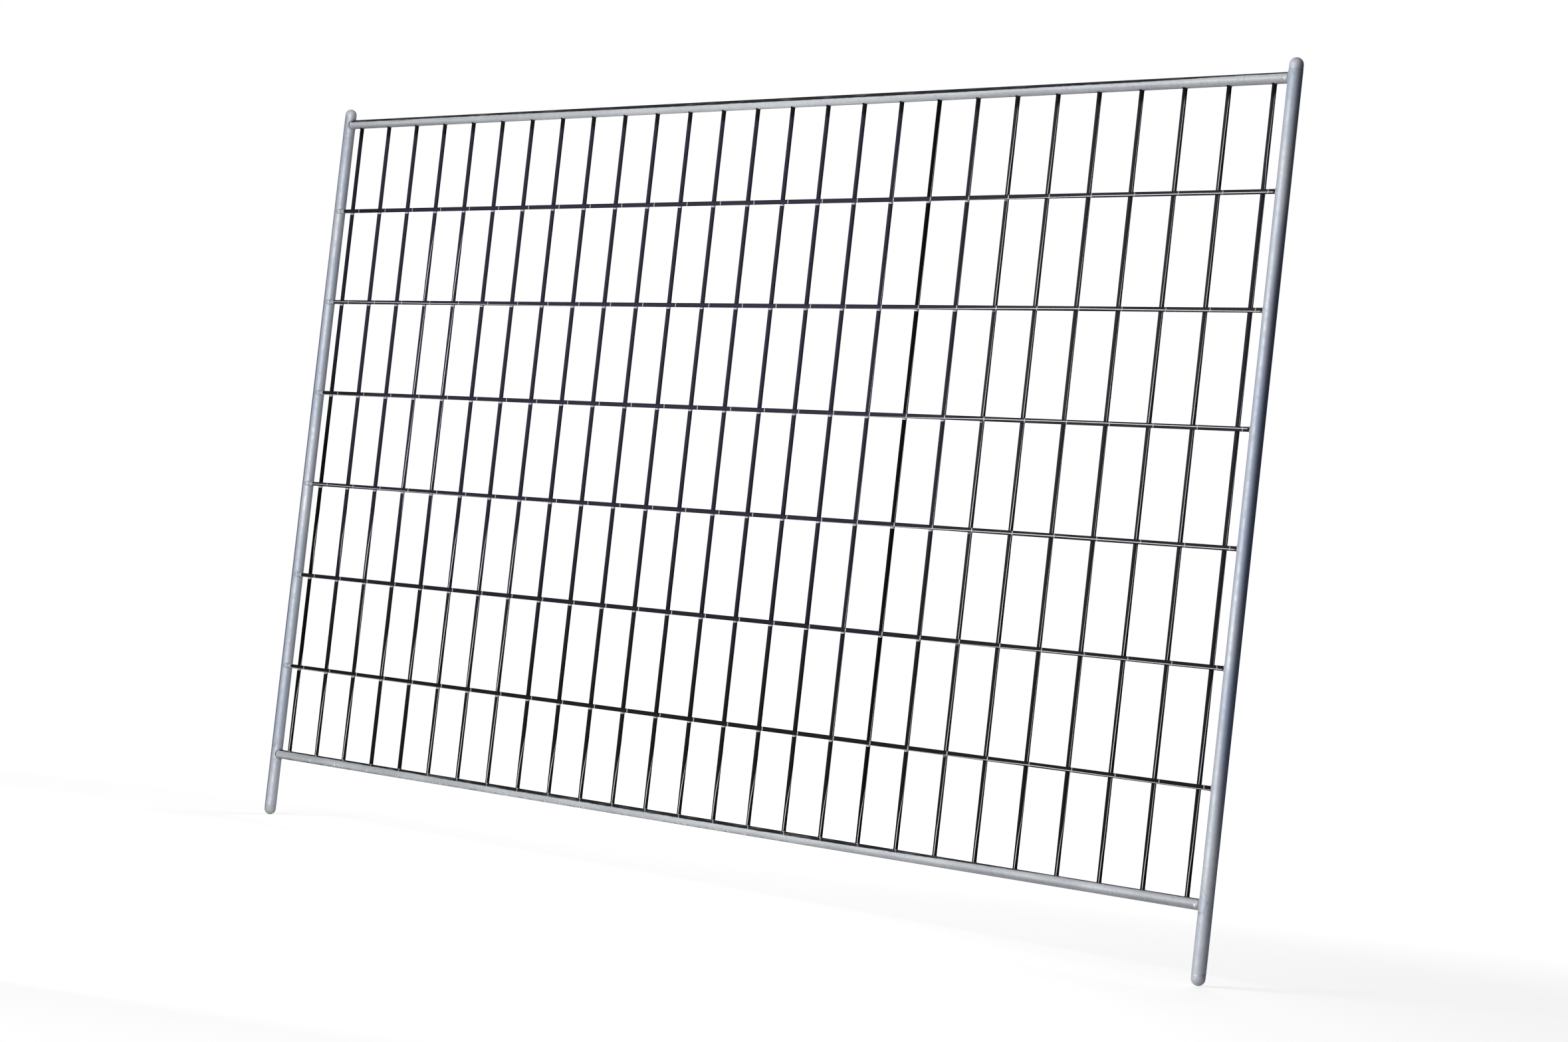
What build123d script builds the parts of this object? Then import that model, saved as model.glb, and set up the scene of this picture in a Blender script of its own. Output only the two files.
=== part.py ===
"""Openwork fence panel: two capped tube posts, two coped tube rails and a screen of welded round bars.

Millimetres. +X runs along the panel, the front looks to -Y and +Z is up.
The origin lies on the ground midway between the posts.
"""

import os
from math import sqrt

from build123d import *

# Overall sizes, over everything.
panel_width = 3500.0
panel_height = 2000.0

# Posts: round tube, closed at each end by a domed cap.
post_diameter = 32.0
post_wall = 1.5

# Caps: a dome on a straight skirt, a step narrower than the post, and a spigot that goes into the tube.
cap_step = 0.3
cap_skirt = 11.0
cap_spigot = 20.0
spigot_clearance = 0.05

# Rails: thinner tube between the posts, set back until its rear line is this far inside the posts' rear.
rail_diameter = 25.0
rail_wall = 1.5
rail_rear_inset = 1.0
bottom_rail_above_ground = 171.0
top_rail_below_top = 43.0

# Bars: how many, and how far the outer ones stand from the axes of the posts and rails.
bar_diameter = 11.0
upright_count = 27
upright_from_post = 58.0
level_count = 6
level_from_rail = 249.25

# Welds: gap left for the weld at the end of a tube or bar, and the sizes of beads and nuggets.
root_gap = 0.3
rail_bead = 3.0
rail_bead_bevel = 1.8
bar_bead = 3.0
bar_bead_width = 3.5
nugget_side = 4.0
nugget_thickness = 0.4

# What follows from those sizes.
post_radius = post_diameter / 2
post_x = panel_width / 2 - post_radius
cap_radius = post_radius - cap_step
cap_height = cap_radius + cap_skirt
tube_bottom = cap_height
tube_top = panel_height - cap_height

rail_radius = rail_diameter / 2
rail_y = post_radius - rail_radius - rail_rear_inset
bottom_rail_z = bottom_rail_above_ground
top_rail_z = panel_height - top_rail_below_top
rail_mid_z = (bottom_rail_z + top_rail_z) / 2

bar_radius = bar_diameter / 2
upright_y = rail_y
upright_bottom = bottom_rail_z + rail_radius + root_gap
upright_top = top_rail_z - rail_radius - root_gap
upright_pitch = 2 * (post_x - upright_from_post) / (upright_count - 1)
upright_xs = [(i - (upright_count - 1) / 2) * upright_pitch for i in range(upright_count)]

level_y = upright_y - bar_diameter - nugget_thickness
level_pitch = (top_rail_z - bottom_rail_z - 2 * level_from_rail) / (level_count - 1)
level_zs = [top_rail_z - level_from_rail - i * level_pitch for i in range(level_count)]


def wall_at_level_bar(side):
    """The point of a post's wall that a level bar meets, and the way out of the wall. Left is -1, right is 1."""
    outward = Vector(-side * sqrt(post_radius**2 - level_y**2), level_y, 0) / post_radius
    return Vector(side * post_x, 0, 0) + outward * post_radius, outward


os.makedirs("parts", exist_ok=True)


# Posts: a length of tube each, between the shoulders of its two caps.
for side, x in (("left", -post_x), ("right", post_x)):
    with BuildPart() as post:
        with BuildSketch(Plane((x, 0, tube_bottom))):
            Circle(post_radius)
            Circle(post_radius - post_wall, mode=Mode.SUBTRACT)
        extrude(amount=tube_top - tube_bottom)
    post.part.label = f"{side}_post"
    export_step(post.part, f"parts/{side}_post.step")


# Foot caps: one turned piece each, from the tip of the dome up to the end of the spigot.
spigot_radius = post_radius - post_wall - spigot_clearance
with BuildPart() as foot_caps:
    for x in (-post_x, post_x):
        with BuildSketch(Plane((x, 0, 0), x_dir=(1, 0, 0), z_dir=(0, -1, 0))):
            with BuildLine():
                RadiusArc((0, 0), (cap_radius, cap_radius), -cap_radius)
                Polyline(
                    (cap_radius, cap_radius),
                    (cap_radius, cap_height),
                    (spigot_radius, cap_height),
                    (spigot_radius, cap_height + cap_spigot),
                    (0, cap_height + cap_spigot),
                    (0, 0),
                )
            make_face()
        revolve(axis=Axis((x, 0, 0), (0, 0, 1)))
foot_caps.part.label = "foot_caps"
export_step(foot_caps.part, "parts/foot_caps.step")


# Top caps: the same two pieces turned over, at the other end of the posts.
with BuildPart() as top_caps:
    mirror(foot_caps.part, about=Plane.XY.offset(panel_height / 2))
top_caps.part.label = "top_caps"
export_step(top_caps.part, "parts/top_caps.step")


# Rails: tube from post to post, each end coped to a saddle that fits round the post with the root gap.
for name, rail_z in (("top_rail", top_rail_z), ("bottom_rail", bottom_rail_z)):
    with BuildPart() as rail:
        with BuildSketch(Plane((-post_x, rail_y, rail_z), x_dir=(0, 1, 0), z_dir=(1, 0, 0))):
            Circle(rail_radius)
            Circle(rail_radius - rail_wall, mode=Mode.SUBTRACT)
        extrude(amount=2 * post_x)
        with Locations((-post_x, 0, rail_z), (post_x, 0, rail_z)):
            Cylinder(post_radius + root_gap, 2 * rail_diameter, mode=Mode.SUBTRACT)
    rail.part.label = name
    export_step(rail.part, f"parts/{name}.step")


# Saddle bead at the left end of the bottom rail: what lies within one bead of both tubes and in neither.
# Its outer ridge is bevelled, so that it falls away to both tubes as a fillet weld does, and at the rear
# it is ground down to just inside the posts' rear, so that panels stack flat.
with BuildPart() as saddle_bead:
    with BuildSketch(Plane((-post_x, rail_y, bottom_rail_z), x_dir=(0, 1, 0), z_dir=(1, 0, 0))):
        Circle(rail_radius + rail_bead)
        Circle(rail_radius, mode=Mode.SUBTRACT)
    extrude(amount=post_diameter)
    with Locations((-post_x, 0, bottom_rail_z)):
        Cylinder(post_radius + rail_bead, 2 * rail_diameter, mode=Mode.INTERSECT)
        Cylinder(post_radius, 2 * rail_diameter, mode=Mode.SUBTRACT)
    ridge = saddle_bead.edges().sort_by(SortBy.LENGTH)[-1]
    chamfer(ridge, rail_bead_bevel)
    split(bisect_by=Plane((0, post_radius - rail_rear_inset / 2, 0), z_dir=(0, -1, 0)))

# Rail end welds: that bead at all four corners of the frame.
with BuildPart() as rail_end_welds:
    add(saddle_bead.part)
    mirror(about=Plane.YZ)
    mirror(about=Plane.XY.offset(rail_mid_z))
rail_end_welds.part.label = "rail_end_welds"
export_step(rail_end_welds.part, "parts/rail_end_welds.step")


# Upright bars: cut square at both ends and stood on the crests of the rails.
for number, x in enumerate(upright_xs, start=1):
    with BuildPart() as upright_bar:
        with BuildSketch(Plane((x, upright_y, upright_bottom))):
            Circle(bar_radius)
        extrude(amount=upright_top - upright_bottom)
    upright_bar.part.label = f"upright_bar_{number:02d}"
    export_step(upright_bar.part, f"parts/upright_bar_{number:02d}.step")


# Level bars: in front of the upright ones, sheared at both ends on the slant of the post's wall.
for number, z in enumerate(level_zs, start=1):
    with BuildPart() as level_bar:
        with BuildSketch(Plane((-post_x, level_y, z), x_dir=(0, 1, 0), z_dir=(1, 0, 0))):
            Circle(bar_radius)
        extrude(amount=2 * post_x)
        for side in (-1, 1):
            wall_point, outward = wall_at_level_bar(side)
            split(bisect_by=Plane(wall_point + outward * root_gap, z_dir=outward))
    level_bar.part.label = f"level_bar_{number}"
    export_step(level_bar.part, f"parts/level_bar_{number}.step")


# Upright bar welds: a fillet bead to the left and right of every bar end, on the crest of the rail.
for name, crest_z, up in (
    ("bottom_rail_bar_welds", bottom_rail_z + rail_radius, 1),
    ("top_rail_bar_welds", top_rail_z - rail_radius, -1),
):
    with BuildPart() as rail_bar_welds:
        with BuildSketch(Plane((0, upright_y, crest_z), x_dir=(1, 0, 0), z_dir=(0, -1, 0))):
            for x in upright_xs:
                for out in (-1, 1):
                    foot = x + out * bar_radius
                    with BuildLine():
                        Polyline((foot, 0), (foot + out * bar_bead, 0), (foot, up * bar_bead), close=True)
                    make_face()
        extrude(amount=bar_bead_width / 2, both=True)
    rail_bar_welds.part.label = name
    export_step(rail_bar_welds.part, f"parts/{name}.step")


# Level bar welds: a fillet bead above and below every bar end, on the wall of the post.
for name, side in (("left_post_bar_welds", -1), ("right_post_bar_welds", 1)):
    wall_point, outward = wall_at_level_bar(side)
    with BuildPart() as post_bar_welds:
        with BuildSketch(Plane(wall_point, x_dir=outward, z_dir=outward.cross(Vector(0, 0, 1)))):
            for z in level_zs:
                for up in (-1, 1):
                    edge = z + up * bar_radius
                    with BuildLine():
                        Polyline((0, edge), (bar_bead, edge), (0, edge + up * bar_bead), close=True)
                    make_face()
        extrude(amount=bar_bead_width / 2, both=True)
    post_bar_welds.part.label = name
    export_step(post_bar_welds.part, f"parts/{name}.step")


# Crossing welds: between one level bar and all the upright ones, a low pyramid for the point that each
# crossing is welded at. Its foot lies on the rear of the level bar and its tip meets the front of the upright.
for number, z in enumerate(level_zs, start=1):
    with BuildPart() as crossing_welds:
        for x in upright_xs:
            with BuildSketch(Plane((x, level_y + bar_radius, z), x_dir=(1, 0, 0), z_dir=(0, 1, 0))) as foot:
                Rectangle(nugget_side, nugget_side)
            tip = Vertex(x, upright_y - bar_radius, z)
            loft(sections=[foot.sketch.face(), tip], ruled=True)
    crossing_welds.part.label = f"crossing_welds_row_{number}"
    export_step(crossing_welds.part, f"parts/crossing_welds_row_{number}.step")
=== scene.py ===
"""Looks of the openwork fence panel: a galvanised tube frame, a screen of dark bars, and their welds.

Metres, in the CAD frame: +X runs along the panel, the front looks to -Y and +Z is up.
A pair of numbers that goes to step() gives the place where a mark begins and the place where it is full.
"""

import bpy
import numpy as np
from mathutils import Matrix, Vector


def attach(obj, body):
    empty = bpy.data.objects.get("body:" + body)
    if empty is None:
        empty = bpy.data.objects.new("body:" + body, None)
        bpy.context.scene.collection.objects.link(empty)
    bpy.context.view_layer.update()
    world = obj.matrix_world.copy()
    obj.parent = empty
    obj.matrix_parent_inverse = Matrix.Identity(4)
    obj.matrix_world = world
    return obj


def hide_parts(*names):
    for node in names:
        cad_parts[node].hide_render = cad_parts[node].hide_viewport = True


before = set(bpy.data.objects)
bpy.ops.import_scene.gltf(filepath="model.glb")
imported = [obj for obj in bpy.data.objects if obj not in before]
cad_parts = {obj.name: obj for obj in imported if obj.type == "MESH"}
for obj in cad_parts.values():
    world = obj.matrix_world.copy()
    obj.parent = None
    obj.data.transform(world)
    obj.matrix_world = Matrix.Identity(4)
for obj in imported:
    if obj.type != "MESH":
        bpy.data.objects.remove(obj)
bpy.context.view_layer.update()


# Posts: two lengths of round steel tube, hot-dip galvanised. The zinc froze in pale spangles, bluish
# in some stretches and grey in others, and ran down in faint streaks while it was wet.
# Welding the rails on has smudged it round the corners of the frame.
post_x = 1.734
post_radius = 0.016
corner_z = (0.171, 1.957)
frame_middle = sum(corner_z) / 2
frame_half = (corner_z[1] - corner_z[0]) / 2
left_half = (0.5, -0.5)
lower_half = (1.2, 0.8)
post_grey = (0.53, 0.555, 0.59, 1.0)
post_blue = (0.44, 0.485, 0.57, 1.0)
# Painted shade: the bluish dark tint multiplied into the right post's outer side and the left post's front
# left edge.
post_painted_shade = (0.34, 0.38, 0.50, 1.0)
post_bands = (14.0, 14.0, 5.0)
post_streaks = (220.0, 220.0, 7.0)
post_smudge_reach = 0.08
zinc_dull = (0.30, 0.33, 0.38, 1.0)
zinc_burnt = (0.10, 0.10, 0.12, 1.0)
zinc_metallic = 0.3
fine_relief = 0.0002


class Field:
    """One output of a finish's node tree, with the arithmetic that the finish is worked out in."""

    def __init__(self, tree, socket):
        self.tree, self.socket = tree, socket

    def node(self, kind, settings, values, output=0):
        """Adds a node of that type, sets its settings, then gives each socket its value or link."""
        made = self.tree.nodes.new("ShaderNode" + kind)
        for name, setting in settings.items():
            setattr(made, name, setting)
        for name, value in values.items():
            if isinstance(value, Field):
                self.tree.links.new(value.socket, made.inputs[name])
            else:
                made.inputs[name].default_value = value
        return Field(self.tree, made.outputs[output])

    def maths(self, operation, other=0.0):
        """A Math node on this value, and on a second one where the operation takes two."""
        return self.node("Math", {"operation": operation}, {0: self, 1: other})

    def __add__(self, other):
        return self.maths("ADD", other)

    def __sub__(self, other):
        return self.maths("SUBTRACT", other)

    def __rsub__(self, other):
        return self * -1.0 + other

    def __mul__(self, other):
        return self.maths("MULTIPLY", other)

    __radd__, __rmul__ = __add__, __mul__

    def size(self):
        """The value without its sign."""
        return self.maths("ABSOLUTE")

    def or_more(self, other):
        """The larger of two values."""
        return self.maths("MAXIMUM", other)

    def step(self, low, high):
        """0 at low, 1 at high, and a smooth step between; where low is above high it falls."""
        return self.node("MapRange", {"interpolation_type": "SMOOTHSTEP"}, {0: self, 1: low, 2: high})

    def stretched(self, factors):
        """A place with its three coordinates multiplied, which draws a pattern out along one of them."""
        return self.node("VectorMath", {"operation": "MULTIPLY"}, {0: self, 1: factors})

    def clouds(self, scale, detail=2.0):
        """Soft noise at this place, from about 0.2 to 0.8."""
        return self.node("TexNoise", {}, {"Vector": self, "Scale": scale, "Detail": detail})

    def crystals(self, scale):
        """A different value from 0 to 1 in each cell of a field of crystals."""
        cells = self.node("TexVoronoi", {}, {"Vector": self, "Scale": scale}, output="Color")
        return self.node("SeparateColor", {}, {0: cells})

    def mixed(self, kind, first, second):
        """A Mix node on two colours, which are its sockets 6 and 7; its output 2 is the colour mixed."""
        settings = {"data_type": "RGBA", "blend_type": kind}
        return self.node("Mix", settings, {0: self, 6: first, 7: second}, output=2)

    def blend(self, first, second):
        """The first colour where this is 0 and the second where it is 1."""
        return self.mixed("MIX", first, second)

    def darken(self, colour, tint):
        """The colour as it is where this is 0, and multiplied by the tint where it is 1."""
        return self.mixed("MULTIPLY", colour, tint)

    def relief(self, depth, strength):
        """A normal from this height, where 1 stands that many metres proud."""
        return self.node("Bump", {}, {"Strength": strength, "Distance": depth, "Height": self})


def new_finish(name, constants):
    """A material with one shader whose constants are set, and the place on it in Object coordinates."""
    material = bpy.data.materials.new(name)
    material.use_nodes = True
    tree = material.node_tree
    for socket, value in constants.items():
        tree.nodes["Principled BSDF"].inputs[socket].default_value = value
    return material, Field(tree, tree.nodes.new("ShaderNodeTexCoord").outputs["Object"])


def feed(material, fields):
    """Links what varies over the surface to the shader's sockets."""
    tree = material.node_tree
    for socket, field in fields.items():
        tree.links.new(field.socket, tree.nodes["Principled BSDF"].inputs[socket])


def coordinates(place):
    """The x, y and z of a place, one field each."""
    return [place.node("SeparateXYZ", {}, {0: place}, output=axis) for axis in range(3)]


def corner_smudges(place, reach):
    """Blotches at the corners of the frame, which fade out over that reach along a post or rail."""
    x, _, z = coordinates(place)
    along_rail = (x.size() - post_x).size().step(reach, 0.0)
    along_post = ((z - frame_middle).size() - frame_half).size().step(reach, 0.0)
    return along_rail * along_post * place.clouds(120.0, 4.0).step(0.5, 0.72)


def zinc_coat(place, bands_drawn, streaks_drawn, first, second):
    """The colour, roughness and height of zinc on a tube: two tones in bands drawn out along it, a
    spangle of crystals, fine streaks and dark specks."""
    spangle_scale, speck_scale, grain_scale = 95.0, 330.0, 700.0
    bands = place.stretched(bands_drawn).clouds(1.0, 3.0).step(0.36, 0.64)
    spangle = place.crystals(spangle_scale)
    streaks = place.stretched(streaks_drawn).clouds(1.0, 3.0).step(0.45, 0.75)
    specks = place.clouds(speck_scale).step(0.72, 0.78)
    colour = (spangle * 0.14 + streaks * 0.22).blend(bands.blend(first, second), zinc_dull)
    colour = (specks * 0.5).blend(colour, zinc_burnt)
    roughness = 0.44 + spangle * 0.10 + bands * 0.05
    return colour, roughness, spangle * 0.4 + place.clouds(grain_scale, 3.0)


def cover(nodes, material):
    """Gives CAD nodes that stay as they are their finish."""
    for node in nodes:
        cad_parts[node].data.materials.clear()
        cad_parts[node].data.materials.append(material)


def post_coat(place):
    """The posts' zinc: its colour, roughness and height, and the smudges on it.

    The right post's outer side and the left one's front left edge carry painted shade, and the painted shade
    of the right one comes further round to the front at mid height. The left post has most of the smudges.
    """
    shade_top, shade_foot, edge_top = (1.75, 1.45), (0.2, 0.5), (1.75, 1.25)
    side_right, side_depth, side_wrap = (0.0, 0.006), (-0.012, 0.008), 0.010
    front_left, edge_place = (-0.574, -0.819), (0.0120, 0.0148)
    x, y, z = coordinates(place)
    colour, roughness, height = zinc_coat(place, post_bands, post_streaks, post_grey, post_blue)
    at_middle = z.step(*shade_top) * z.step(*shade_foot)
    # Painted shade: darkens the right post's outer side, and the left post's front left edge below its top.
    right_side_shade = (x - post_x).step(*side_right) * (y + at_middle * side_wrap).step(*side_depth)
    left_edge_shade = ((x + post_x) * front_left[0] + y * front_left[1]).step(*edge_place) * z.step(*edge_top)
    painted_shade = (right_side_shade * (0.75 + at_middle * 0.25)).or_more(left_edge_shade)
    smudge_share = 0.15 + (x.step(*left_half) * 0.4).or_more(z.step(*lower_half) * 0.2)
    smudge = corner_smudges(place, post_smudge_reach) * smudge_share
    colour = smudge.blend(painted_shade.darken(colour, post_painted_shade), zinc_burnt)
    return colour, roughness + smudge * 0.2, height, smudge


post_finish, place = new_finish("post_zinc", {"Specular IOR Level": 0.12})
colour, roughness, height, smudge = post_coat(place)
feed(post_finish, {
    "Base Color": colour,
    "Metallic": zinc_metallic - smudge * zinc_metallic,
    "Roughness": roughness,
    "Normal": height.relief(fine_relief, 0.2),
})
cover(("left_post", "right_post"), post_finish)


# Caps: domed steel pressings pushed into the ends of the posts on a spigot, with a shallow step at
# the shoulder, and galvanised. The tops of the upper domes are painted lighter, a painted light from above,
# and the feet are scuffed and soiled where they stand on the ground. The caps share the posts' painted
# shade.
cap_radius = 0.0157
cap_height = 0.0267
cap_skirt_end = 0.0200
cap_bevel = 0.0003
spigot_radius = 0.0144
spigot_length = 0.020
top_pip_radius = 0.0016
foot_pip_radius = 0.003
post_top = 2.0
dome_painted_light = (post_top - 0.030, post_top - 0.008)
foot_soiled = (0.036, 0.004)
# Painted light: the pale colour that lightens the tops of the upper domes.
cap_painted_light = (0.82, 0.84, 0.86, 1.0)
cap_scuffed = (0.36, 0.39, 0.44, 1.0)
cap_soil = (0.48, 0.465, 0.43, 1.0)


def skin(rings, loop=False):
    """Points and faces over rings of points, given for each copy of a shape in the order of the rings.

    A loop joins the last ring to the first. Any other shape is closed by a fan from the middle of each
    end ring. A copy that comes out inside out, by the sign of its volume, has its faces turned over.
    """
    copies, count, around = rings.shape[:3]
    here = np.arange(count * around).reshape(count, around)
    low, high = (here, np.roll(here, -1, axis=0)) if loop else (here[:-1], here[1:])
    quads = np.stack([low, np.roll(low, -1, 1), np.roll(high, -1, 1), high], -1).reshape(-1, 4)
    points = rings.reshape(copies, -1, 3)
    fans = np.zeros((0, 3), int)
    if not loop:
        points = np.concatenate([points, rings[:, [0, -1]].mean(2)], 1)
        start, end = np.full(around, count * around), np.full(around, count * around + 1)
        fans = np.concatenate([
            np.stack([np.roll(here[0], -1), here[0], start], -1),
            np.stack([here[-1], np.roll(here[-1], -1), end], -1),
        ])
    triangles = np.concatenate([quads[:, :3], quads[:, [0, 2, 3]], fans])
    a, b, c = np.moveaxis((points - points.mean(1, keepdims=True))[:, triangles], 2, 0)
    inside_out = (a * np.cross(b, c)).sum((1, 2)) < 0
    first = np.arange(copies)[:, None, None] * points.shape[1]
    faces = []
    for part in (quads, fans):
        turned = np.where(inside_out[:, None, None], part[None, :, ::-1], part[None]) + first
        faces += turned.reshape(-1, part.shape[1]).tolist()
    return points.reshape(-1, 3), faces


def add_piece(name, rings, material, nodes=(), loop=False, crease=45.0):
    """Makes a piece from rings, smooth but for edges sharper than the crease in degrees, and stands it
    for CAD nodes."""
    points, faces = skin(rings, loop)
    mesh = bpy.data.meshes.new(name)
    mesh.from_pydata(points.tolist(), [], faces)
    mesh.shade_smooth()
    mesh.set_sharp_from_angle(angle=np.radians(crease))
    mesh.materials.append(material)
    piece = bpy.data.objects.new(name, mesh)
    bpy.context.scene.collection.objects.link(piece)
    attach(piece, "root")
    if nodes:
        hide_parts(*nodes)
    return piece


def turned_caps(tip, up, pip):
    """One cap on each post: a profile of radius and height from the tip, turned about the post's axis.

    The dome is a quarter circle, flattened at the tip to a pip of the given radius.
    """
    dome_steps, facets = 18, 64
    pip_height, pip_shoulder = 0.0002, 0.0006
    angle = np.linspace(0.0, np.pi / 2, dome_steps)
    dome_r, dome_h = cap_radius * np.sin(angle), cap_radius * (1 - np.cos(angle))
    keep = dome_r > pip
    dome_r, dome_h = dome_r[keep], np.maximum(dome_h[keep], pip_shoulder)
    shoulder_r = [cap_radius, cap_radius - cap_bevel, spigot_radius, spigot_radius]
    shoulder_h = [cap_height - cap_bevel, cap_height, cap_height, cap_height + spigot_length]
    radius = np.concatenate([[pip * 0.8, pip], dome_r, [cap_radius], shoulder_r])
    height = np.concatenate([[0.0, pip_height], dome_h, [cap_skirt_end], shoulder_h])
    turn = np.linspace(0.0, 2 * np.pi, facets, endpoint=False)
    x = np.array([-post_x, post_x])[:, None, None] + radius[:, None] * np.cos(turn)
    y = np.broadcast_to(radius[:, None] * np.sin(turn), x.shape)
    z = np.broadcast_to(tip + up * height[:, None], x.shape)
    return np.stack([x, y, z], -1)


cap_finish, place = new_finish("cap_zinc", {"Specular IOR Level": 0.12})
x, _, z = coordinates(place)
colour, roughness, height, _ = post_coat(place)
# Painted light: the tops of the upper domes are lightened as if lit from above.
colour = (z.step(*dome_painted_light) * 0.5).blend(colour, cap_painted_light)
scuffs = place.stretched((1.0, 1.0, 0.25)).clouds(260.0, 4.0).step(0.48, 0.72)
soil = z.step(*foot_soiled) * place.clouds(150.0, 4.0).step(0.22, 0.55)
soil = soil * (0.2 + x.step(*left_half) * 0.6)
feed(cap_finish, {
    "Base Color": soil.blend((scuffs * 0.2).blend(colour, cap_scuffed), cap_soil),
    "Metallic": zinc_metallic - soil * zinc_metallic,
    "Roughness": roughness + scuffs * 0.1 + soil * 0.25,
    "Normal": (scuffs + height).relief(fine_relief, 0.2),
})
add_piece("top_end_caps", turned_caps(post_top, -1, top_pip_radius), cap_finish, ["top_caps"])
add_piece("foot_end_caps", turned_caps(0.0, 1, foot_pip_radius), cap_finish, ["foot_caps"])


# Rails: thinner galvanised tube between the posts, with its ends coped to fit round them. The zinc is
# greyer than on the posts and mottled, and paler on the top rail and at the left ends. A dark line along the
# front of the crests is painted shade and a painted dark reflection, broken in ticks on the lower one where
# zinc from the bars' seams crosses it.
rail_radius = 0.0125
rail_y = 0.0025
first_bar_x = -1.676
bar_pitch = 0.128923
upper_half = (0.9, 1.1)
rail_grey = (0.46, 0.48, 0.51, 1.0)
rail_pale = (0.56, 0.58, 0.60, 1.0)
rail_washed = (0.70, 0.72, 0.75, 1.0)
# Painted shade and dark reflection: the colour of the dark line along the crests.
rail_crest_shade = (0.011, 0.011, 0.013, 1.0)
rail_bands = (5.0, 14.0, 14.0)
rail_streaks = (7.0, 220.0, 220.0)
rail_smudge_reach = 0.06
left_washed = (-1.0, -1.6)
mark_slant = 1.1


def from_bar(x):
    """How far a place along the panel lies from the axis of the nearest upright bar."""
    return (((x - first_bar_x) * (1 / bar_pitch) + 0.5).maths("FRACT") - 0.5).size() * bar_pitch


rail_finish, place = new_finish("rail_zinc", {"Specular IOR Level": 0.10})
x, y, z = coordinates(place)
on_top = z.step(*upper_half)
over_axis = (z - frame_middle).maths("SIGN") * -frame_half + (z - frame_middle)
ragged = (place.stretched((40.0, 200.0, 200.0)).clouds(1.0, 3.0) - 0.5) * 0.0024
washed = on_top * 0.4 + x.step(*left_washed) * 0.4
first, second = washed.blend(rail_grey, rail_washed), washed.blend(rail_pale, rail_washed)
colour, roughness, height = zinc_coat(place, rail_bands, rail_streaks, first, second)

# The painted dark line of shade and dark reflection: its lower edge over the axis of a rail, and how far it
# comes down from there. It is thinner at both ends of both rails, and it ends behind the crest.
crest_shade_edge = (0.0066, 0.0088)
crest_shade_rear = (rail_y + 0.004, rail_y + 0.001)
low_right, low_left = (1.35, 0.5), (-0.6, -1.7)
high_right, high_left, high_end = (1.3, 0.6), (-1.2, -0.3), (1.25, 1.65)
tick_width, tick_right = (0.0014, 0.0009), (1.0, 0.6)
low_reach = x.step(*low_right) * 0.0064 - x.step(*low_left) * 0.0050 - 0.0032
high_reach = 0.0034 + x.step(*high_right) * x.step(*high_left) * 0.0022 - x.step(*high_end) * 0.0034
reach = low_reach + on_top * (high_reach - low_reach)
crest_shade = (over_axis + ragged + reach).step(*crest_shade_edge)
tick = from_bar(x + (y - rail_y) * mark_slant).step(*tick_width) * (1 - on_top) * x.step(*tick_right)
# Patches where the painted dark line along the crests is lighter.
crest_shade_gaps = place.stretched((14.0, 110.0, 110.0)).clouds(1.0, 5.0).step(0.50, 0.70) * 0.15
crest_shade = crest_shade * (1 - (tick * 0.8).or_more(crest_shade_gaps)) * (y + ragged * 2.0 + on_top * 0.003).step(*crest_shade_rear)

# The dark marks: painted shade on the underside to the left and right, one scratch along the left of the top
# rail, and dashes along the lower edge of the bottom one.
under_shade_left, under_shade_left_depth = (-0.9, -1.6), (-0.003, -0.0105)
under_shade_right, under_shade_right_depth = (0.0, 1.3), (0.001, -0.006)
scratch_start, scratch_end = (-1.54, -1.52), (-1.44, -1.46)
scratch_front, scratch_over, scratch_width = (0.0, -0.002), 0.0020, (0.0008, 0.0003)
dash_under, dash_right = (-0.0070, -0.0085), (0.9, 0.1)
mottle = place.clouds(150.0, 4.0).step(0.52, 0.7)
smudge = corner_smudges(place, rail_smudge_reach)
# Painted shade: dull darkens the lower side of the rails at the left and the right.
dull = over_axis.step(*under_shade_left_depth) * x.step(*under_shade_left)
dull = dull + over_axis.step(*under_shade_right_depth) * x.step(*under_shade_right)
scratch = x.step(*scratch_start) * x.step(*scratch_end) * on_top * y.step(*scratch_front)
scratch = scratch * (over_axis - scratch_over).size().step(*scratch_width)
lower_edge = (over_axis + ragged * 2.0).step(*dash_under) * (1 - on_top)
dashes = lower_edge * place.stretched((60.0, 150.0, 150.0)).clouds(1.0, 3.0).step(0.5, 0.6)
dashes = dashes * x.step(*dash_right)
marks = mottle * 0.12 + smudge * 0.6 + scratch * 0.8 + dull * 0.45 + dashes * 0.45
feed(rail_finish, {
    "Base Color": crest_shade.blend(marks.blend(colour, zinc_burnt), rail_crest_shade),
    "Metallic": zinc_metallic - crest_shade * zinc_metallic,
    "Roughness": roughness + mottle * 0.08 + crest_shade * 0.15,
    "Normal": height.relief(fine_relief, 0.25),
})
cover(("top_rail", "bottom_rail"), rail_finish)


# Rail end welds: a bead all round the coped end of each rail, laid in overlapping ripples and sprayed with
# zinc but for a dark line along its middle, and ground flat at the rear so that panels stack.
rail_bead_leg = 0.003
rail_bead_ripples = 44
rail_bead_around = 352
rail_bead_across = 9
ground_rear_y = 0.0155
bead_crease = 80.0
weld_dark = (0.085, 0.085, 0.10, 1.0)
weld_blued = (0.040, 0.040, 0.060, 1.0)
weld_bright = (0.42, 0.44, 0.47, 1.0)


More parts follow.
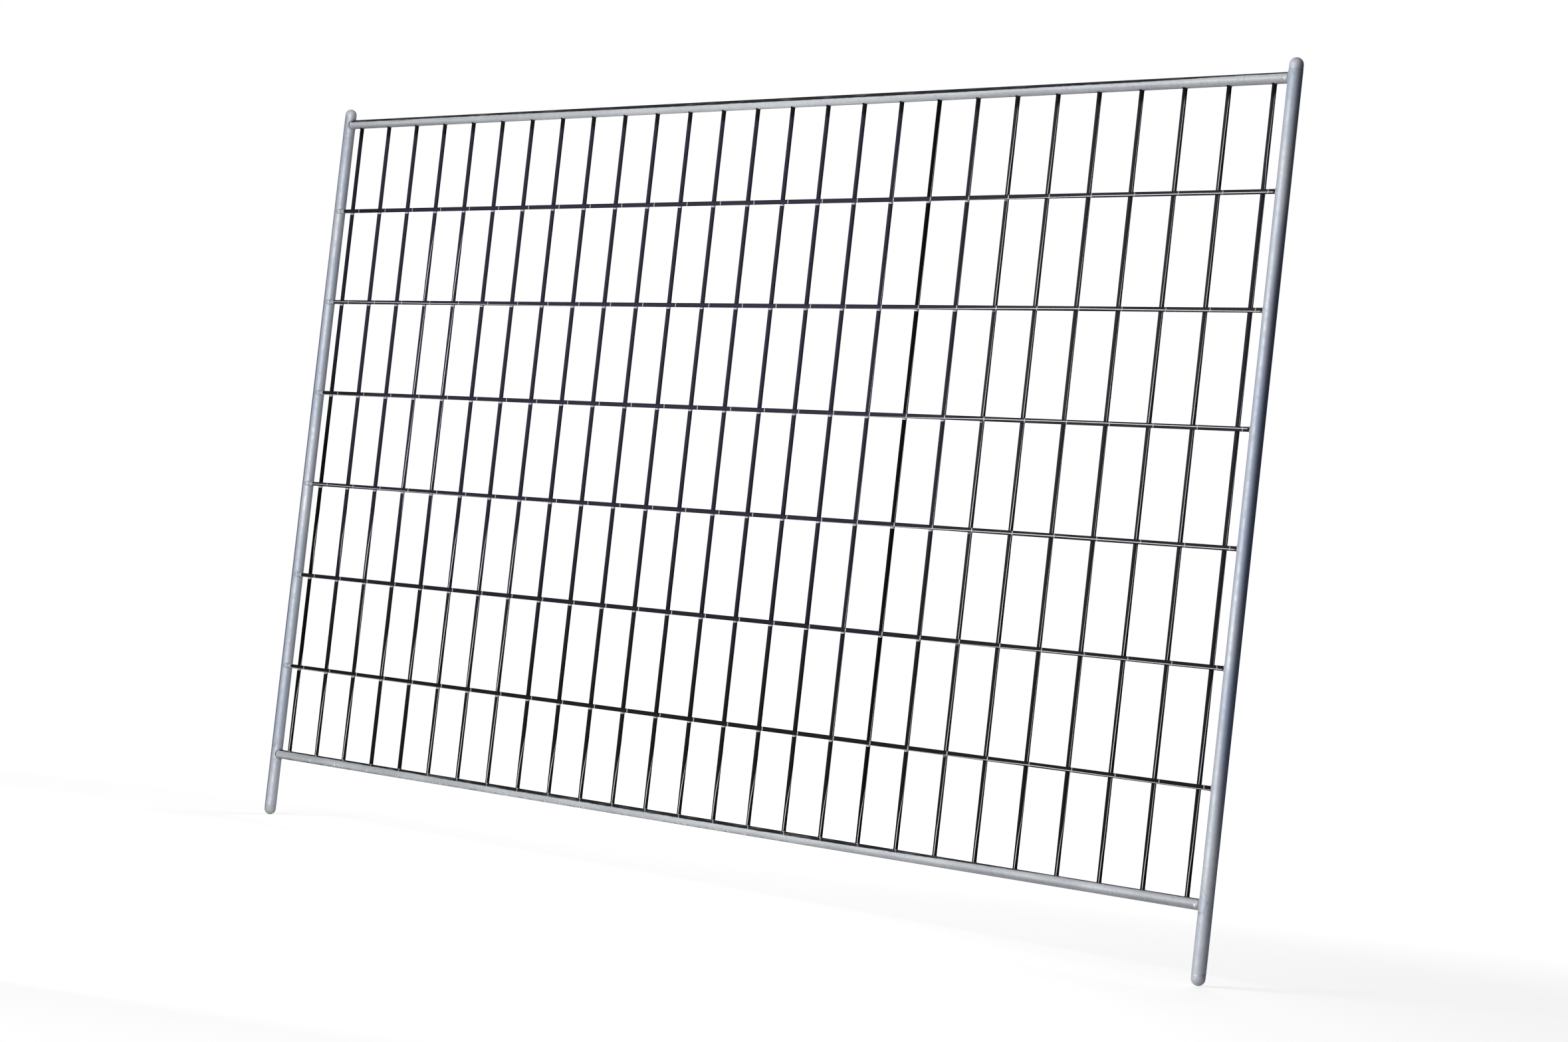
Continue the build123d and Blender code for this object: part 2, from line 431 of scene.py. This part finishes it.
def saddle_bead(branch, main, offset, leg, ripples, around, across, reach):
    """A fillet bead where a round branch meets a round main tube: its height over the main axis, its
    place across the main tube and its place along it.

    A quarter circle from the main wall to the branch is carried round the branch. Its legs swell and
    shrink with the ripples, whose crests lag in the middle of the face. Three points inside the metal
    close the section.
    """
    turn = np.linspace(0.0, 2 * np.pi, around, endpoint=False)[:, None]
    face = np.linspace(0.0, np.pi / 2, across)
    lag = 1.1 * np.sin(2 * face)
    uneven = 1 + 0.07 * np.sin(2 * turn + 1.0) + 0.05 * np.sin(5 * turn)
    ripple = 0.13 * np.sin(2 * face) * np.abs(np.sin(ripples * turn / 2 - lag))
    size = uneven + ripple - 0.06
    out, rise = leg * size * np.cos(face), leg * size * np.sin(face)
    inside, tucked = -0.0004, 0.6 * leg
    hidden_out = np.broadcast_to([inside, inside, tucked], (around, 3))
    hidden_rise = np.broadcast_to([tucked, inside, inside], (around, 3))
    out, rise = np.concatenate([out, hidden_out], 1), np.concatenate([rise, hidden_rise], 1)
    over = np.clip(offset + (branch + out) * np.cos(turn), -reach, reach)
    along = (branch + out) * np.sin(turn)
    return np.sqrt(main**2 - over**2) + rise, over, along


def weld_finish(name, share, dark, blued):
    """Weld metal, in two tones from the heat, with zinc spray in patches over the given share of it. A
    bead may have an attribute, toe, that adds to the share."""
    material, place = new_finish(name, {"Metallic": 0.35, "Specular IOR Level": 0.15})
    tint = place.clouds(140.0, 3.0).step(0.4, 0.68)
    toe = place.node("Attribute", {"attribute_name": "toe"}, {}, output="Fac")
    spray = (place.clouds(420.0, 4.0) + toe + (share - 0.5)).step(0.46, 0.60)
    feed(material, {
        "Base Color": spray.blend(tint.blend(dark, blued), weld_bright),
        "Roughness": 0.42 + spray * 0.15,
        "Normal": place.clouds(1500.0, 3.0).relief(fine_relief, 0.3),
    })
    return material


def mark_points(piece, attribute, values):
    """Gives each point of a piece its value of an attribute that the finish reads."""
    values = np.asarray(values, np.float32)
    piece.data.attributes.new(attribute, "FLOAT", "POINT").data.foreach_set("value", values)


height, over, along = saddle_bead(
    rail_radius, post_radius, rail_y, rail_bead_leg,
    rail_bead_ripples, rail_bead_around, rail_bead_across, ground_rear_y,
)
corner_beads = np.stack([
    np.stack([side * (post_x - height), over, z + along], -1) for side in (-1, 1) for z in corner_z
])
dark_weld = weld_finish("weld_dark", 0.28, weld_dark, weld_blued)
beads = add_piece(
    "rail_end_beads", corner_beads, dark_weld, ["rail_end_welds"], loop=True, crease=bead_crease
)
toe = np.append(np.abs(np.linspace(-1.0, 1.0, rail_bead_across)) > 0.3, [True] * 3)
mark_points(beads, "toe", np.tile(toe, corner_beads.shape[0] * corner_beads.shape[1]))


# Upright bars: thin round bars rolled from dark coated strip and welded shut along a seam, which winds
# slowly round each bar and was sprayed with zinc: a narrow light line on the dark coat. The line is also a
# painted highlight, turned to face the front right. More zinc was sprayed under the crossings, and the top
# ends, just under the top rail, are black.
bar_radius = 0.0055
bar_bevel = 0.0004
upright_x = first_bar_x + bar_pitch * np.arange(27)
upright_z = (0.1838, 1.9442)
level_y = -0.0089
level_z = np.linspace(1.70775, 0.42025, 6)
bay = 0.2575
seam_half_width = np.radians(12.0)
seam_height = 0.00015
bar_navy = (0.0320, 0.0320, 0.0505, 1.0)
bar_grey = (0.0290, 0.0285, 0.0350, 1.0)
bar_soot = (0.0100, 0.0100, 0.0108, 1.0)
bar_black = (0.0030, 0.0030, 0.0035, 1.0)
# Zinc of the seams, clamps and crossings; along the seams it is also a painted highlight.
bar_zinc_and_highlight = (0.66, 0.66, 0.70, 1.0)


def seamed_bar(stations, seam):
    """A round bar with its seam: the distance along it, its two coordinates across and the height of the
    ridge, by station.

    The section is a circle with a low ridge, a raised cosine as wide as the seam, turned at each
    station by the angle of the seam. The ends are bevelled.
    """
    ridge_points, round_points = 9, 17
    narrow = np.linspace(-1.0, 1.0, ridge_points) * seam_half_width
    wide = np.linspace(seam_half_width, 2 * np.pi - seam_half_width, round_points)[1:-1]
    angle = np.concatenate([narrow, wide])
    raised = 0.5 + 0.5 * np.cos(np.pi * angle / seam_half_width)
    ridge = np.where(np.abs(angle) < seam_half_width, raised, 0.0)
    bevel = np.full((len(stations), 1), 0.0)
    bevel[[0, -1]] = bar_bevel
    radius = bar_radius - bevel + seam_height * ridge
    turn = seam[:, None] + angle
    along = np.broadcast_to(stations[:, None], turn.shape)
    return along, radius * np.cos(turn), radius * np.sin(turn), np.broadcast_to(ridge, turn.shape)


def add_bar(name, rings, ridge, soot, material, node):
    """Adds one bar, with its seam and how black its coat is as attributes of its points."""
    bar = add_piece(name, rings[None], material, [node])
    soot = np.broadcast_to(soot[:, None], ridge.shape)
    mark_points(bar, "seam", np.append(ridge.ravel(), [0.0, 0.0]))
    mark_points(bar, "soot", np.append(soot.ravel(), soot[[0, -1], 0]))


def eased(value, low, high):
    """0 up to low, 1 from high on, and a smooth step between."""
    t = np.clip((value - low) / (high - low), 0.0, 1.0)
    return t * t * (3 - 2 * t)


bar_finish, place = new_finish("bar_coat", {"Specular IOR Level": 0.02})
x, y, z = coordinates(place)
seam = place.node("Attribute", {"attribute_name": "seam"}, {}, output="Fac")
soot = place.node("Attribute", {"attribute_name": "soot"}, {}, output="Fac")
mottle = place.stretched((3.0, 30.0, 3.0)).clouds(4.0, 3.0)
# Darker at the top ends of the upright bars, just under the top rail.
black_top_end = z.step(1.905, 1.93)
on_level = y.step(-0.0031, -0.0034)

# The zinc under a crossing: from behind the level bar to a little below it, lower near the ground, on the
# front of the upright bars and not on those at the right.
spray_start, spray_end, spray_lower = (0.0012, 0.0020), (0.0094, 0.0084), 0.0008
spray_front, spray_right = (0.0040, 0.0020), (1.00, 0.75)
below = ((level_z[0] - z) * (1 / bay)).maths("FRACT") * bay
spray = below.step(*spray_start) * (below + (z - 0.6) * spray_lower).step(*spray_end)
spray = spray * (1 - on_level) * y.step(*spray_front) * x.step(*spray_right)

# The marks of the clamps that held the crossings: across each level bar, to the right of every upright one,
# nearer to it from the middle of the panel to the right, and along the left of the two lowest bars.
clamp_beside, clamp_width = 0.046, (0.0019, 0.0012)
nearer_right, end_right, end_left = (-0.2, 0.8), (0.9, 1.5), (-1.4, -1.7)
low_bars, low_bars_left, fainter_right = (0.85, 0.75), (0.6, -0.2), (0.9, 1.3)
beside = clamp_beside - x.step(*nearer_right) * 0.025
beside = beside + x.step(*end_right) * 0.008 + x.step(*end_left) * 0.009
beside = beside - z.step(*low_bars) * x.step(*low_bars_left) * 0.010
clamp = from_bar(x + (y - (level_y - bar_radius)) * mark_slant - beside).step(*clamp_width)
clamp = clamp * on_level * (0.7 - x.step(*fainter_right) * 0.25)

left_end = (-1.694, -1.698)
right_part = (0.4, 1.0)
patchy = (place.clouds(500.0, 3.0) - 0.5) * 0.3
# Painted highlight: the light zinc line along each seam also stands for the highlight along the bar.
zinc_and_highlight = (seam + patchy + on_level * 0.15).step(0.25, 0.5) * (1 - black_top_end)
zinc_and_highlight = zinc_and_highlight.or_more(clamp).or_more(spray)
dark = (soot + black_top_end + (mottle - 0.5) * 0.4).step(0.0, 1.0)
coat = dark.blend(x.step(*right_part).blend(bar_navy, bar_grey), bar_soot)
coat = (soot + black_top_end).step(1.1, 1.6).blend(coat, bar_black)
end_spray = (x + (place.clouds(300.0, 3.0) - 0.5) * 0.006).step(*left_end) * on_level
feed(bar_finish, {
    "Base Color": end_spray.blend(zinc_and_highlight.blend(coat, bar_zinc_and_highlight), post_grey),
    "Metallic": zinc_and_highlight * 0.2,
    "Roughness": 0.48 + mottle * 0.15,
    "Normal": place.clouds(900.0, 2.0).relief(fine_relief, 0.1),
})

# Where the seams face the front right, so that their light line shows as a painted highlight: first and last
# bar, lowest and highest point, and how many degrees the seam lies there from the front right. Elsewhere it
# lies at seam_away.
seam_shows = (
    (1, 3, -0.10, 0.52, 2.0),
    (4, 5, 0.22, 0.66, 20.0),
    (6, 27, -0.10, 0.43, 2.0),
    (1, 2, 0.60, 0.96, 14.0),
    (3, 3, 0.40, 0.96, 8.0),
    (4, 5, 0.74, 1.78, 6.0),
    (6, 8, -0.10, 0.98, 5.0),
    (18, 20, -0.10, 2.30, 50.0),
    (21, 22, -0.10, 2.30, 14.0),
    (23, 24, -0.10, 2.30, 32.0),
    (25, 26, -0.10, 2.30, 12.0),
    (27, 27, -0.10, 0.80, 14.0),
    (27, 27, 0.50, 1.90, 46.0),
    (27, 27, 1.60, 2.30, 18.0),
)
seam_away = 126.0
seam_ease = 0.2
soot_heights, soot_levels = (0.25, 1.3), (1.0, 0.05)
black_bar = 19
stations = np.linspace(upright_z[0] + bar_bevel, upright_z[1] - bar_bevel, 110)
behind = (level_z[:, None] + np.linspace(-bar_radius, bar_radius, 6)).ravel()
stations = np.sort(np.concatenate([upright_z, stations, behind]))
under_bar = (level_z[0] - stations) % bay
drift = np.interp(under_bar, (0.0, bar_radius, bay - bar_radius, bay), (0.0, 1.0, -1.0, 0.0))
for number, x0 in enumerate(upright_x, start=1):
    lead = np.full(len(stations), seam_away)
    for first, last, low, high, angle in seam_shows:
        if first <= number <= last:
            shown = eased(stations, low, low + seam_ease) * eased(stations, high, high - seam_ease)
            lead = np.minimum(lead, seam_away + (angle - seam_away) * shown)
    front_right = -42.0 - 4.1 * x0
    winding = (30.0 - 12.0 * eased(number, 14, 20)) * drift + 6.0 * np.sin(9.0 * stations + number)
    along, across_x, across_y, ridge = seamed_bar(stations, np.radians(front_right + lead + winding))
    rings = np.stack([x0 + across_x, rail_y + across_y, along], -1)
    soot = np.interp(stations, soot_heights, soot_levels) + (number == black_bar) * 1.7
    soot = soot + (number == 1) * (0.5 + 1.1 * eased(stations, 1.35, 0.9))
    add_bar(f"seamed_upright_{number:02d}", rings, ridge, soot, bar_finish, f"upright_bar_{number:02d}")


# Upright bar welds: a small bead round both ends of every upright bar, on the crests of the rails. The zinc
# of the seam runs on over the lower ones, and the upper ones are as black as the bars are there.
bar_bead_leg = 0.0012
bar_bead_ripples = 10
bar_bead_around = 20
bar_bead_across = 4
wall_share = 0.99
zinced_to_x = 0.8
seam_side = np.radians(42.0)
seam_close = 0.97
sooted_weld = weld_finish("weld_sooted", 0.0, bar_soot, bar_black)
height, over, along = saddle_bead(
    bar_radius, rail_radius, 0.0, bar_bead_leg,
    bar_bead_ripples, bar_bead_around, bar_bead_across, rail_radius * wall_share,
)
toward_seam = (along * np.cos(seam_side) - over * np.sin(seam_side)) / np.hypot(along, over)
for name, node, crest, up, finish in (
    ("bottom_rail_bar_beads", "bottom_rail_bar_welds", corner_z[0], 1, dark_weld),
    ("top_rail_bar_beads", "top_rail_bar_welds", corner_z[1], -1, sooted_weld),
):
    beads = np.stack([np.stack([x0 + along, rail_y + over, crest + up * height], -1) for x0 in upright_x])
    piece = add_piece(name, beads, finish, [node], loop=True, crease=bead_crease)
    zinced = (upright_x < zinced_to_x) * (up > 0)
    mark_points(piece, "toe", np.outer(zinced, toward_seam > seam_close).ravel())


# Level bars: the same seamed bar laid across the front of the upright ones, with its seam turned down,
# and sheared at both ends on the slant of the post's wall. The seam's light line is also a painted
# highlight.
# Each clamp of the welder has left a light mark.
root_gap = 0.0003
sheared = 0.02
wall_depth = np.sqrt(post_radius**2 - level_y**2)
level_end = post_x - wall_depth - root_gap
end_slant = -level_y / wall_depth
sooted_left, sooted_above = (-1.45, -1.55), (0.9, 1.1)
# How far below the front, in degrees, the seam of each bar lies at these points along it.
seam_points = (-1.64, -1.2, -0.7, 0.0, 0.6, 0.9, 1.2, 1.6)
seam_below = (
    (87, 93, 95, 95, 89, 60, 27, 22),
    (-1, 27, 65, 93, 63, 27, 10, 29),
    (58, 68, 84, 92, 62, 10, -12, -15),
    (9, 38, 64, 90, 60, 21, 2, 20),
    (63, 81, 89, 89, 75, 55, 23, 31),
    (43, 51, 69, 87, 65, 49, 17, 43),
)
stations = np.linspace(-level_end + bar_bevel, level_end - bar_bevel, 180)
stations = np.concatenate([[-level_end], stations, [level_end]])
for number, z0 in enumerate(level_z, start=1):
    below_front = np.interp(stations, seam_points, seam_below[number - 1])
    seam_turn = -np.radians(below_front + 3.0 * np.sin(3.1 * stations + number))
    along, front_y, up_z, ridge = seamed_bar(stations, seam_turn)
    at_end = np.sign(along) * eased(np.abs(along), level_end - sheared, level_end)
    rings = np.stack([along - at_end * end_slant * front_y, level_y - front_y, z0 + up_z], -1)
    soot = 0.5 * eased(stations, *sooted_left) * eased(z0, *sooted_above)
    soot = np.interp(z0, soot_heights, soot_levels) + soot
    add_bar(f"seamed_level_{number}", rings, ridge, soot, bar_finish, f"level_bar_{number}")


# Level bar welds: a small bead round both ends of every level bar, on the walls of the posts, and sprayed
# with zinc together with the end of the bar.
level_bead_leg = 0.0024
height, over, along = saddle_bead(
    bar_radius, post_radius, level_y, level_bead_leg,
    bar_bead_ripples, bar_bead_around, bar_bead_across, post_radius * wall_share,
)
sprayed_weld = weld_finish("weld_sprayed", 0.80, weld_dark, weld_blued)
for name, node, side in (
    ("left_post_bar_beads", "left_post_bar_welds", -1),
    ("right_post_bar_beads", "right_post_bar_welds", 1),
):
    beads = np.stack([np.stack([side * (post_x - height), over, z0 + along], -1) for z0 in level_z])
    add_piece(name, beads, sprayed_weld, [node], loop=True, crease=bead_crease)


# Crossing welds: the flattened nugget that a spot welder squeezes out between a level bar and an
# upright one, at every crossing. It is as dark as the bars, with their coat.
# Each is a short eight-sided drum, widest at mid depth, whose ends are sunk into the two bars.
nugget_radius = 0.0030
nugget_bulge = 0.0034
nugget_sink = 0.0002
turn = np.linspace(0.0, 2 * np.pi, 8, endpoint=False)
reach = np.array([1.0, nugget_bulge / nugget_radius, 1.0])[:, None] * nugget_radius
depth = np.array([0.0, 0.5, 1.0])[:, None]
dx, dz = reach * np.cos(turn), reach * np.sin(turn)
front = level_y + np.sqrt(bar_radius**2 - dz**2) - nugget_sink
rear = rail_y - np.sqrt(bar_radius**2 - dx**2) + nugget_sink
nugget = np.stack([dx, front + depth * (rear - front), dz], -1)
for number, z0 in enumerate(level_z, start=1):
    row = nugget + np.stack([upright_x, 0 * upright_x, 0 * upright_x + z0], -1)[:, None, None]
    add_piece(f"crossing_nuggets_{number}", row, bar_finish, [f"crossing_welds_row_{number}"])


# Zinc drips: drops of zinc that ran down the front of the bottom rail as it was lifted from the bath
# and froze there, and a blob at the right end of each rail, where the bath was skimmed last.
drip_count = 30
drip_from, drip_to = -1.70, 0.30
drip_crease = 60.0
drip_zinc = (0.88, 0.88, 0.87, 1.0)
# The two blobs: places along the rails, degrees below the front, half lengths and half widths.
blob_x, blob_below = [1.7105, 1.7125], [8.0, 14.0]
blob_length, blob_width = [0.0042, 0.0028], [0.0048, 0.0040]


def drops(centre, outward, along, length, width, proud, tube_radius):
    """Drops that sit on a tube: an oval, drawn in ring by ring as it rises, on each centre.

    The oval lies along the tube and bends round it, and its foot is sunk into the wall.
    """
    turn = np.linspace(0.0, 2 * np.pi, 8, endpoint=False)
    inward = np.array([1.0, 0.95, 0.70, 0.28])[:, None]
    rise = np.array([-0.5, 0.20, 0.75, 1.0])[:, None]
    across = np.cross(outward, along)
    round_tube = width[:, None, None] * inward * np.sin(turn)
    height = proud[:, None, None] * rise - round_tube**2 / (2 * tube_radius)
    grid = [
        centre[:, None, None],
        (length[:, None, None] * inward * np.cos(turn))[..., None] * along[:, None, None],
        round_tube[..., None] * across[:, None, None],
        height[..., None] * outward[:, None, None],
    ]
    return sum(grid)


chance = np.random.default_rng(11)
drop_x = np.sort(chance.uniform(drip_from, drip_to, drip_count))
below_front = 18.0 + 30.0 * eased(drop_x, -1.6, -0.9) + chance.uniform(-7.0, 9.0, drip_count)
below_front = np.radians(np.append(below_front, blob_below))
drop_x = np.append(drop_x, blob_x)
drop_z = np.append(np.full(drip_count, corner_z[0]), corner_z)
outward = np.stack([0 * drop_x, -np.cos(below_front), -np.sin(below_front)], -1)
centre = np.stack([drop_x, np.full(len(drop_x), rail_y), drop_z], -1) + outward * rail_radius
along = np.tile([1.0, 0.0, 0.0], (len(drop_x), 1))
length = np.append(chance.uniform(0.0012, 0.0021, drip_count), blob_length)
width = np.append(chance.uniform(0.0018, 0.0042, drip_count), blob_width)
drip_finish, place = new_finish("drip_zinc", {"Metallic": 0.1, "Specular IOR Level": 0.3})
dull = place.clouds(380.0, 3.0).step(0.45, 0.72)
feed(drip_finish, {
    "Base Color": (dull * 0.4).blend(drip_zinc, rail_grey),
    "Roughness": 0.32 + dull * 0.15,
    "Normal": place.clouds(1200.0, 2.0).relief(fine_relief, 0.2),
})
rings = drops(centre, outward, along, length, width, length * 0.45, rail_radius)
add_piece("zinc_drips", rings, drip_finish, crease=drip_crease)


# Weld spatter: small beads of steel that flew from the rail end welds while they were laid and stuck
# to the inner sides of the posts beside them. They have the dark metal of those welds.
spatter_count = 20
side = np.repeat([-1.0, 1.0], spatter_count // 2)
around_post = np.radians(chance.uniform(-75.0, 40.0, spatter_count))
outward = np.stack([-side * np.cos(around_post), np.sin(around_post), 0 * side], -1)
spatter_z = np.tile(corner_z, spatter_count // 2) + chance.uniform(-0.045, 0.014, spatter_count)
centre = np.stack([side * post_x, 0 * side, spatter_z], -1) + outward * post_radius
along = np.tile([0.0, 0.0, 1.0], (spatter_count, 1))
bead = chance.uniform(0.0004, 0.0009, spatter_count)
rings = drops(centre, outward, along, bead, bead, bead * 0.8, post_radius)
add_piece("weld_spatter", rings, dark_weld, crease=drip_crease)


# Floor: a pale, matt studio floor that runs out to the horizon. The lamps light it beside the panel, where
# it keeps the shadow, and a glow that only the camera and reflections see brings it up to white.
floor_half = 60.0
near_to_far = (1.6, 5.0)
floor_near, floor_far = (0.8, 0.8, 0.8, 1.0), (0.3, 0.3, 0.3, 1.0)
glow_near, glow_far = (0.61, 0.61, 0.61, 1.0), (0.94, 0.94, 0.94, 1.0)
no_glow = (0.0, 0.0, 0.0, 1.0)


def seen_directly(tree):
    """1 for rays from the camera and those that metal or glass sends on, 0 for rays that only light."""
    ray = Field(tree, None)
    seen = ray.node("LightPath", {}, {}, output="Is Camera Ray")
    seen = seen.or_more(ray.node("LightPath", {}, {}, output="Is Glossy Ray"))
    return seen.or_more(ray.node("LightPath", {}, {}, output="Is Transmission Ray"))


floor_mesh = bpy.data.meshes.new("floor")
floor_corners = [(-floor_half, -floor_half, 0.0), (floor_half, -floor_half, 0.0)]
floor_corners += [(floor_half, floor_half, 0.0), (-floor_half, floor_half, 0.0)]
floor_mesh.from_pydata(floor_corners, [], [(0, 1, 2, 3)])
floor = bpy.data.objects.new("floor", floor_mesh)
bpy.context.scene.collection.objects.link(floor)
floor_finish, place = new_finish("floor_pale", {
    "Roughness": 0.9, "Specular IOR Level": 0.1, "Emission Strength": 1.0
})
away = place.node("VectorMath", {"operation": "LENGTH"}, {0: place}, output="Value").step(*near_to_far)
feed(floor_finish, {
    "Base Color": away.blend(floor_near, floor_far),
    "Emission Color": seen_directly(place.tree).blend(no_glow, away.blend(glow_near, glow_far)),
})
floor_mesh.materials.append(floor_finish)


# Studio: a surround that shows white and lights a little, one broad soft lamp at the front and one further
# off behind, and three dark cloths that only reflections see and that give the metal its dark edges.
surround_light = 0.14
cloth_dark = (0.02, 0.02, 0.03, 1.0)
world = bpy.data.worlds.new("studio")
world.use_nodes = True
bpy.context.scene.world = world
backdrop = world.node_tree.nodes["Background"].inputs
backdrop["Color"].default_value = (1.0, 1.0, 1.0, 1.0)
level = surround_light + seen_directly(world.node_tree) * (1 - surround_light)
world.node_tree.links.new(level.socket, backdrop["Strength"])


def add_lamp(name, place, aim, width, height, watts):
    """A broad soft lamp that looks at a point of the panel."""
    lamp = bpy.data.lights.new(name, "AREA")
    lamp.shape, lamp.size, lamp.size_y, lamp.energy = "RECTANGLE", width, height, watts
    stand = bpy.data.objects.new(name, lamp)
    stand.location = place
    stand.rotation_mode = "QUATERNION"
    stand.rotation_quaternion = (Vector(aim) - stand.location).to_track_quat("-Z", "Y")
    bpy.context.scene.collection.objects.link(stand)
    return stand


def add_flag(name, foot_start, foot_end, top):
    """A dark cloth that only reflections see, upright over the line between two points of the floor."""
    corners = [(*foot_start, 0.0), (*foot_end, 0.0), (*foot_end, top), (*foot_start, top)]
    mesh = bpy.data.meshes.new(name)
    mesh.from_pydata(corners, [], [(0, 1, 2, 3)])
    flag = bpy.data.objects.new(name, mesh)
    bpy.context.scene.collection.objects.link(flag)
    cloth, _ = new_finish(name, {"Base Color": cloth_dark, "Specular IOR Level": 0.0})
    mesh.materials.append(cloth)
    flag.visible_camera = flag.visible_diffuse = False
    flag.visible_shadow = flag.visible_transmission = False


add_lamp("key_lamp", place=(0.7, -3.8, 1.3), aim=(-0.9, 0.0, 1.0), width=2.6, height=2.0, watts=146.0)
rear_lamp = add_lamp(
    "rear_lamp", place=(-3.0, 5.0, 2.6), aim=(0.0, 0.0, 1.0), width=3.0, height=2.0, watts=150.0
)
rear_lamp.visible_glossy = False
add_flag("rear_flag", foot_start=(-7.0, 1.6), foot_end=(4.0, 1.6), top=5.0)
add_flag("left_flag", foot_start=(-2.7, -1.0), foot_end=(-2.7, 0.8), top=2.4)
add_flag("side_flag", foot_start=(4.0, -1.0), foot_end=(4.0, 1.6), top=4.0)


# Camera: stands low at the front right of the panel with a short telephoto lens, turned to the left, looking
# a little up, and tilted, as the panel was photographed.
camera_place = (7.0585, -6.1544, 0.593)
yaw, pitch, roll = np.radians((47.816, -2.08, 6.397))
camera = bpy.data.cameras.new("camera")
camera.sensor_width = 36.0
camera.lens = 86.83
forward = np.array((-np.sin(yaw) * np.cos(pitch), np.cos(yaw) * np.cos(pitch), -np.sin(pitch)))
right = np.array((np.cos(yaw), np.sin(yaw), 0.0))
up = np.cross(right, forward)
rolled_right = np.cos(roll) * right + np.sin(roll) * up
rolled_up = np.cos(roll) * up - np.sin(roll) * right
turned = Matrix(np.stack([rolled_right, rolled_up, -forward], -1).tolist())
viewer = bpy.data.objects.new("camera", camera)
viewer.matrix_world = Matrix.Translation(camera_place) @ turned.to_4x4()
bpy.context.scene.collection.objects.link(viewer)
bpy.context.scene.camera = viewer
bpy.context.scene.view_settings.view_transform = "Standard"
